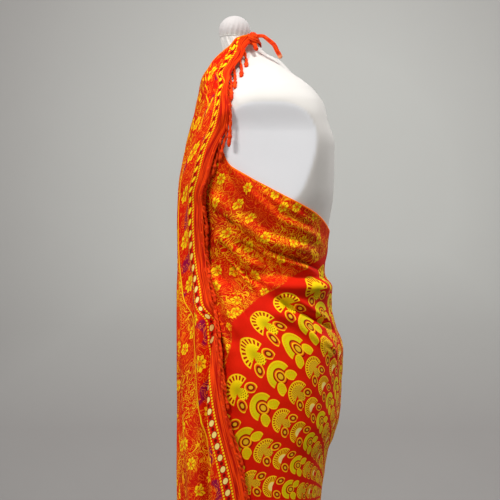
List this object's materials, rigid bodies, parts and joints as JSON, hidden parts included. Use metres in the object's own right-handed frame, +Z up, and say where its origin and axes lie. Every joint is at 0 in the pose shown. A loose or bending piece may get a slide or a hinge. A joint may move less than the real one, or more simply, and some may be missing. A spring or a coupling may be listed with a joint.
{
  "type": "sarong on dress form",
  "caption": "Fringed printed sarong wrapped as a crossed halter dress, tied behind the neck, on a limbless dress form with a pole and round base",
  "frame": {"origin": "centre of the round base plate's underside, on the floor, below the pole's axis", "axes": "+Z up, the form faces -Y, +X is the form's left side"},
  "size_m": [0.4014, 0.4, 1.62],
  "materials": {
    "printed_cloth": "thin plain-woven rayon, red-orange, printed in yellow, orange and cream",
    "plain_fringe": "twisted red-orange threads and unprinted cloth",
    "form_jersey": "off-white jersey stretched over a hard form",
    "stand_metal": "satin light grey paint"
  },
  "bodies": {
    "root": {"sarong_back_wrap": "printed_cloth", "sarong_skirt_right": "printed_cloth", "sarong_skirt_left": "printed_cloth", "sarong_over_panel": "printed_cloth", "sarong_under_panel": "printed_cloth", "over_panel_fringe": "plain_fringe", "under_panel_fringe": "plain_fringe", "neck_knot": "plain_fringe", "knot_tail_long": "plain_fringe", "knot_tail_short": "plain_fringe", "form_torso": "form_jersey", "form_neck_cap": "form_jersey", "stand_pole": "stand_metal", "stand_socket": "stand_metal", "stand_base": "stand_metal"}
  },
  "joints": []
}
